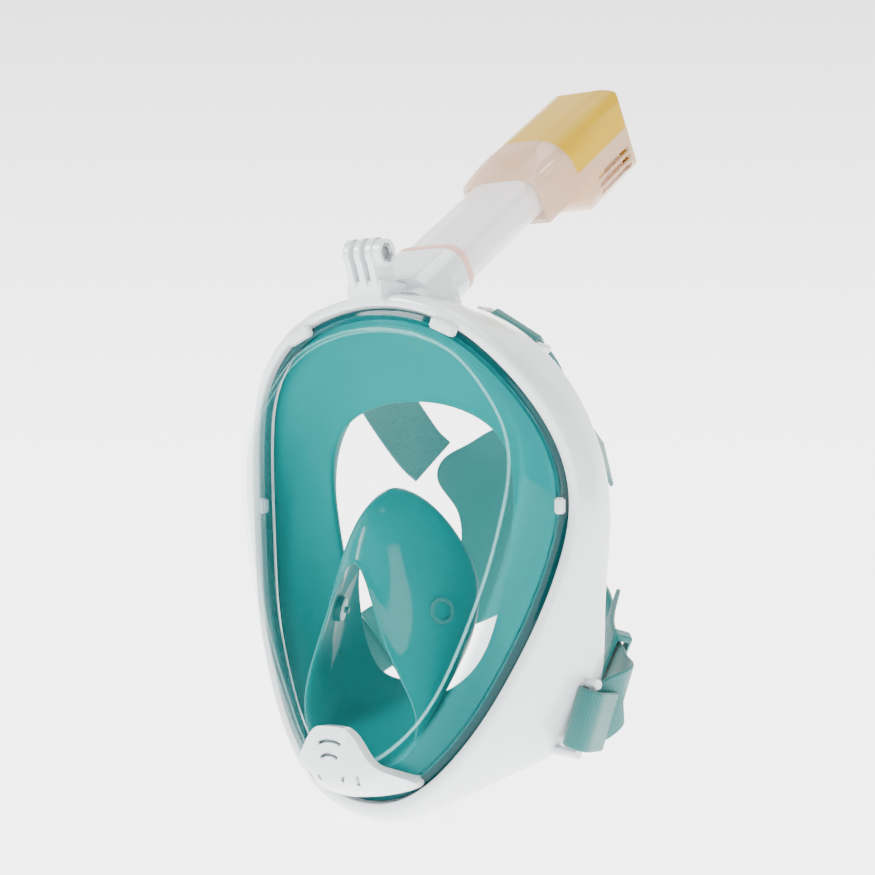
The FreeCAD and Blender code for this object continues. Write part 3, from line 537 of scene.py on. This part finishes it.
def frame_piece():
    """The frame: its front rim, its wide side band, its rear edge and the ledge behind the lens."""
    rim, rear = whole(RIM), whole(REAR)
    o, q = outward(rim), outward(rear)
    front = rim + o * RIM_WIDTH - Y * 0.6
    inner = rear - q * WALL
    rows = [rim - Y * 1.0,                                  # the front rim
            rim + o * 0.6 - Y * 2.0,
            rim + o * (RIM_WIDTH - 1.6) - Y * 2.0,
            front,
            mix(front, rear, 0.3) + o * 1.6,                # the side band's outside
            mix(front, rear, 0.7) + q * 1.2,
            rear - Y * 1.0 + q * 0.2,                       # its rear edge
            rear + Y * 0.6 - q * 1.2,
            inner - Y * 1.0,
            mix(rim + o * 2.4 + Y * 6, inner, 0.55) + q * 0.6,   # its inside
            rim + o * 2.4 + Y * 6.4,
            rim - o * 2.6 + Y * 5.6,                        # the ledge behind the lens's edge
            rim - o * 3.2 + Y * 3.6,
            rim + o * 0.2 + Y * 2.9]
    piece = grid_object("frame_shell", surface(rows), True, WHITE)
    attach(piece, "mask")
    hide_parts("outer_frame")


def tab_pieces():
    """The small tabs on the rim that hold the lens's edge."""
    for k, (centre, size, slope) in enumerate(LENS_TABS):
        for side, hand in ((1, "left"), (-1, "right")):
            work = bmesh.new()
            bmesh.ops.create_cube(work, size=1.0)
            bmesh.ops.scale(work, vec=Vector(size) * MM, verts=work.verts)
            bmesh.ops.bevel(work, geom=work.edges[:], offset=TAB_BEVEL * MM,
                            segments=BEVEL_SEGMENTS, affect="EDGES")
            turn = Matrix.Rotation(math.radians(side * slope), 4, "Y")
            turn.translation = Vector((side * centre[0], centre[1], centre[2])) * MM
            work.transform(turn)
            mesh = bpy.data.meshes.new("tab")
            work.to_mesh(mesh)
            work.free()
            tab = finished(f"rim_tab_{k + 1}_{hand}", mesh, WHITE)
            smooth(tab, 40)
            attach(tab, "mask")


# ---------------------------------------------------------------- lens
def panel_middle(z):
    """Where the lens's flat middle stands in Y: it leans back towards the forehead."""
    return PANEL_Y - PANEL_LEAN * (PANEL_Z - z)


PANEL_MIDDLE = np.array([0.0, panel_middle(10), 10.0])


def lens_rows(grow):
    """One face of the lens, from its middle over its crease to the rim, grown outward."""
    rim, crease = whole(RIM), whole(CREASE)
    o = outward(rim)
    rows = [np.repeat([PANEL_MIDDLE - Y * grow], len(rim), 0)]
    for share in LENS_SHARES:
        flat = mix(PANEL_MIDDLE, crease, share)
        want = panel_middle(flat[:, 2]) + (crease[:, 1] - panel_middle(crease[:, 2])) * share ** 2.4
        flat[:, 1] = want - grow
        rows.append(flat + o * (grow * 0.4 * share ** 6))
    for share in WALL_SHARES:
        base = mix(rim - o * 3.4 + Y * 0.4, crease, share)
        rows.append(base + (o * 0.9 - Y * 0.4) * grow)
    return rows


def lens_piece():
    """The lens: its front face, the lip under the rim, and its back face."""
    rim = whole(RIM)
    o = outward(rim)
    lip = [rim - o * 0.5 + Y * 0.4, rim - o * 0.5 + Y * 2.4, rim - o * 4.0 + Y * 2.4]
    rows = lens_rows(0.0) + lip + lens_rows(-LENS_T)[::-1]
    grid = surface(rows, closed_rows=False)
    band = open_basis(len(rows), ROW_STEPS) @ np.array(LENS_BANDS)
    piece = grid_object("lens_panel", grid, False, LENS, band)
    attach(piece, "mask")
    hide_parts("lens")


# ---------------------------------------------------------------- silicone
def skirt_piece():
    """The skirt: a front sheet from the rim to the face opening, the seal, and the sheet's back."""
    rim, hole = whole(RIM), whole(FACE)
    o, m = outward(rim), outward(hole)
    t = SILICONE_T
    edge = rim - o * 0.8
    seal = hole * np.array([1, 0, 1]) + m * SEAL_SPREAD
    rows = [edge + Y * 6.6,                                 # the front sheet
            rim - o * 7 + Y * 7.4,
            mix(rim, hole, 0.45) + Y * 5.0,
            mix(rim, hole, 0.8) + Y * 1.5,
            hole - Y * 0.6,                                 # the edge of the face opening
            hole - m * 1.4 + Y * 1.2,
            hole + m * 2.0 + Y * 7.0,
            seal - Y * 1.2,                                 # the seal's rear edge
            seal + m * 0.8 + Y * 0.6,
            hole + m * 6.0 + Y * (7.5 - t),                 # the back
            mix(rim, hole, 0.8) + Y * (1.5 + t * 1.4),
            mix(rim, hole, 0.45) + Y * (5.0 + t * 1.2),
            edge + Y * (6.6 + t)]
    piece = grid_object("skirt_silicone", surface(rows), True, TEAL)
    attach(piece, "mask")
    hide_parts("face_skirt")


def pocket_piece():
    """The cup round the nose and mouth, with a dome over the bridge of the nose."""
    front, rear = whole(POCKET_FRONT), whole(POCKET_REAR)
    o, q = outward(front), outward(rear)
    t = SILICONE_T
    dome = POCKET_BULGE * np.maximum(q[:, 2:], 0) ** 2 * np.array([0, -0.3, 1])
    rows = [front + o * 2.4 + Y * 0.2,                      # the lip at the front, then the outside
            front + o * 2.4 + Y * (t + 0.2),
            mix(front, rear, 0.3) + o * (t + 1.5) + dome,
            mix(front, rear, 0.7) + q * (t + 1.0) + dome * 0.6,
            rear + q * 1.2,                                 # the edge at the back, then the inside
            rear - q * 1.6 + Y * 1.0,
            rear - q * 1.6 - Y * 0.8,
            mix(front, rear, 0.7) + q * 1.0 + dome * 0.6,
            mix(front, rear, 0.3) + o * 1.5 + dome,
            front + Y * t]
    piece = grid_object("pocket_silicone", surface(rows), True, TEAL_GLOSS)
    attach(piece, "mask")
    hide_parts("nose_pocket")


# ---------------------------------------------------------------- straps
def smooth_path(points):
    """Points on a curve that passes through the given ones."""
    p = np.array(points, float)
    p = np.vstack([2 * p[0] - p[1], p, 2 * p[-1] - p[-2]])
    found = []
    for i in range(1, len(p) - 2):
        for k in range(PATH_STEPS):
            t = k / PATH_STEPS
            found.append(0.5 * (2 * p[i] + (p[i + 1] - p[i - 1]) * t
                                + (2 * p[i - 1] - 5 * p[i] + 4 * p[i + 1] - p[i + 2]) * t * t
                                + (3 * p[i] - p[i - 1] - 3 * p[i + 1] + p[i + 2]) * t ** 3))
    found.append(p[-2])
    return np.array(found)


def strap_object(name, path, across, body):
    """A flat woven strap along a path, with rounded edges and its UVs in metres."""
    p, w = smooth_path(path), smooth_path(across)
    along = np.gradient(p, axis=0)
    along /= np.linalg.norm(along, axis=1, keepdims=True)
    n = np.cross(w, along)
    n /= np.linalg.norm(n, axis=1, keepdims=True)
    side = np.cross(along, n)
    half_w, half_t = STRAP_W / 2, STRAP_T / 2
    section = []
    for sx, start in ((1, -90), (-1, 90)):
        for k in range(EDGE_POINTS):
            a = math.radians(start + 180 * k / (EDGE_POINTS - 1))
            section.append((sx * (half_w - half_t) + half_t * math.cos(a), half_t * math.sin(a)))
    mesh = bpy.data.meshes.new(name)
    count = len(section)
    verts = [tuple((p[i] + side[i] * s + n[i] * h) * MM)
             for i in range(len(p)) for s, h in section]
    last = (len(p) - 1) * count
    faces = []
    for a in range(0, last, count):
        b = a + count
        faces += [(a + j, a + (j + 1) % count, b + (j + 1) % count, b + j) for j in range(count)]
    faces += [tuple(range(count)), tuple(last + j for j in reversed(range(count)))]
    mesh.from_pydata(verts, [], faces)
    length = np.concatenate([[0], np.cumsum(np.linalg.norm(np.diff(p, axis=0), axis=1))]) * MM
    layer = mesh.uv_layers.new(name="UVMap")
    for loop in mesh.loops:
        i, j = divmod(loop.vertex_index, count)
        layer.data[loop.index].uv = (length[i], section[j][0] * MM)
    obj = finished(name, mesh, STRAP)
    smooth(obj, 50)
    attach(obj, body)
    return obj


def mirrored(points, side):
    return [(side * x, y, z) for x, y, z in points]


def looped_strap(name, bar, path, across, side, spread, reach):
    """A strap whose end is looped round its bar and sewn back on itself."""
    a, b = (np.array(e, float) for e in mirrored(bar, side))
    axis = (b - a) / np.linalg.norm(b - a)
    centre = (a + b) / 2
    path = [np.array(p, float) for p in mirrored(path, side)]
    lead = path[1] - centre
    lead -= axis * lead.dot(axis)
    lead /= np.linalg.norm(lead)
    up = np.cross(axis, lead) * side
    loop = [centre + lead * (reach + TAIL_LENGTH) - up * PLY_OFFSET,
            centre + lead * reach - up * (PLY_OFFSET + spread * 0.4),
            centre - up * spread,
            centre - lead * spread * 0.75 - up * spread * 0.7,
            centre - lead * spread,
            centre - lead * spread * 0.75 + up * spread * 0.7,
            centre + up * spread,
            centre + lead * reach + up * (PLY_OFFSET + spread * 0.3)]
    width = [np.array(w, float) for w in mirrored(across, side)]
    first = axis if axis.dot(width[0]) > 0 else -axis
    return strap_object(name, loop + path[1:], [first] * len(loop) + width[1:], "mask")


def harness():
    """The four straps, the bars and adjusters they run through, and the pad behind the head."""
    for side, hand in ((1, "left"), (-1, "right")):
        upper = looped_strap("upper_webbing_" + hand, UPPER_BAR, UPPER_PATH[side],
                             UPPER_ACROSS[side], side, UPPER_LOOP_R, LOOP_REACH)
        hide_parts("upper_strap_" + hand)
        lower = looped_strap("lower_webbing_" + hand, LOWER_BAR, LOWER_PATH[side],
                             LOWER_ACROSS[side], side, LOWER_LOOP_R, LOOP_REACH)
        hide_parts("lower_strap_" + hand)
        refined("upper_strap_bar_" + hand, "upper_bar_" + hand, "mask", WHITE, 0)
        refined("lower_strap_bar_" + hand, "lower_bar_" + hand, "mask", WHITE, 0)
        refined("strap_slider_" + hand, "slider_" + hand, "mask", TEAL_PLASTIC)
    refined("head_pad", "harness_pad", "mask", TEAL_PLASTIC, 0.5)


# ---------------------------------------------------------------- all pieces
def rigid_pieces():
    """Every piece whose shape comes straight from its CAD node."""
    refined("skirt_retainer", "clamp_ring", "mask", WHITE, 0)
    refined("snorkel_socket", "collar", "mask", WHITE, 0.5)
    refined("release_button", "release_pad", "release_button", WHITE, 0)
    refined("camera_mount", "camera_fork", "mask", WHITE, 0.5)
    refined("camera_mount_nut", "hex_nut", "mask", STEEL, 0.3)
    refined("drain_seat", "drain_spider", "mask", WHITE, 0.2)
    refined("drain_disc", "drain_flap", "drain_disc", CLEAR_RUBBER, 0.2)
    refined("drain_cover", "chin_cover", "mask", WHITE, 0.4)
    for hand in ("left", "right"):
        refined("inhale_seat_" + hand, "inhale_ring_" + hand, "mask", TEAL_PLASTIC, 0.2)
        refined("inhale_disc_" + hand, "inhale_flap_" + hand, "inhale_disc_" + hand, CLEAR_RUBBER,
                0.2)
    refined("snorkel_tube", "tube_shell", "snorkel", TUBE, 0.3)
    refined("plug_seal", "plug_ring", "snorkel", SEAL, 0)
    refined("seat_ring", "tube_foot_ring", "snorkel", SEAL, 0.5)
    refined("head_cap", "yellow_shell", "snorkel", YELLOW, 0.9)
    refined("head_body", "head_chamber", "snorkel", HEAD, 0.5)
    refined("valve_plate", "float_stop", "snorkel", HEAD, 0.3)
    refined("float_pin", "float_guide", "snorkel", TUBE, 0.2)
    refined("float", "float_block", "float", FLOAT, 0.8)
    refined("float_seal", "float_pad", "float", CLEAR_RUBBER, 0.3)


add_camera()
add_studio()
frame_piece()
tab_pieces()
lens_piece()
skirt_piece()
pocket_piece()
rigid_pieces()
harness()
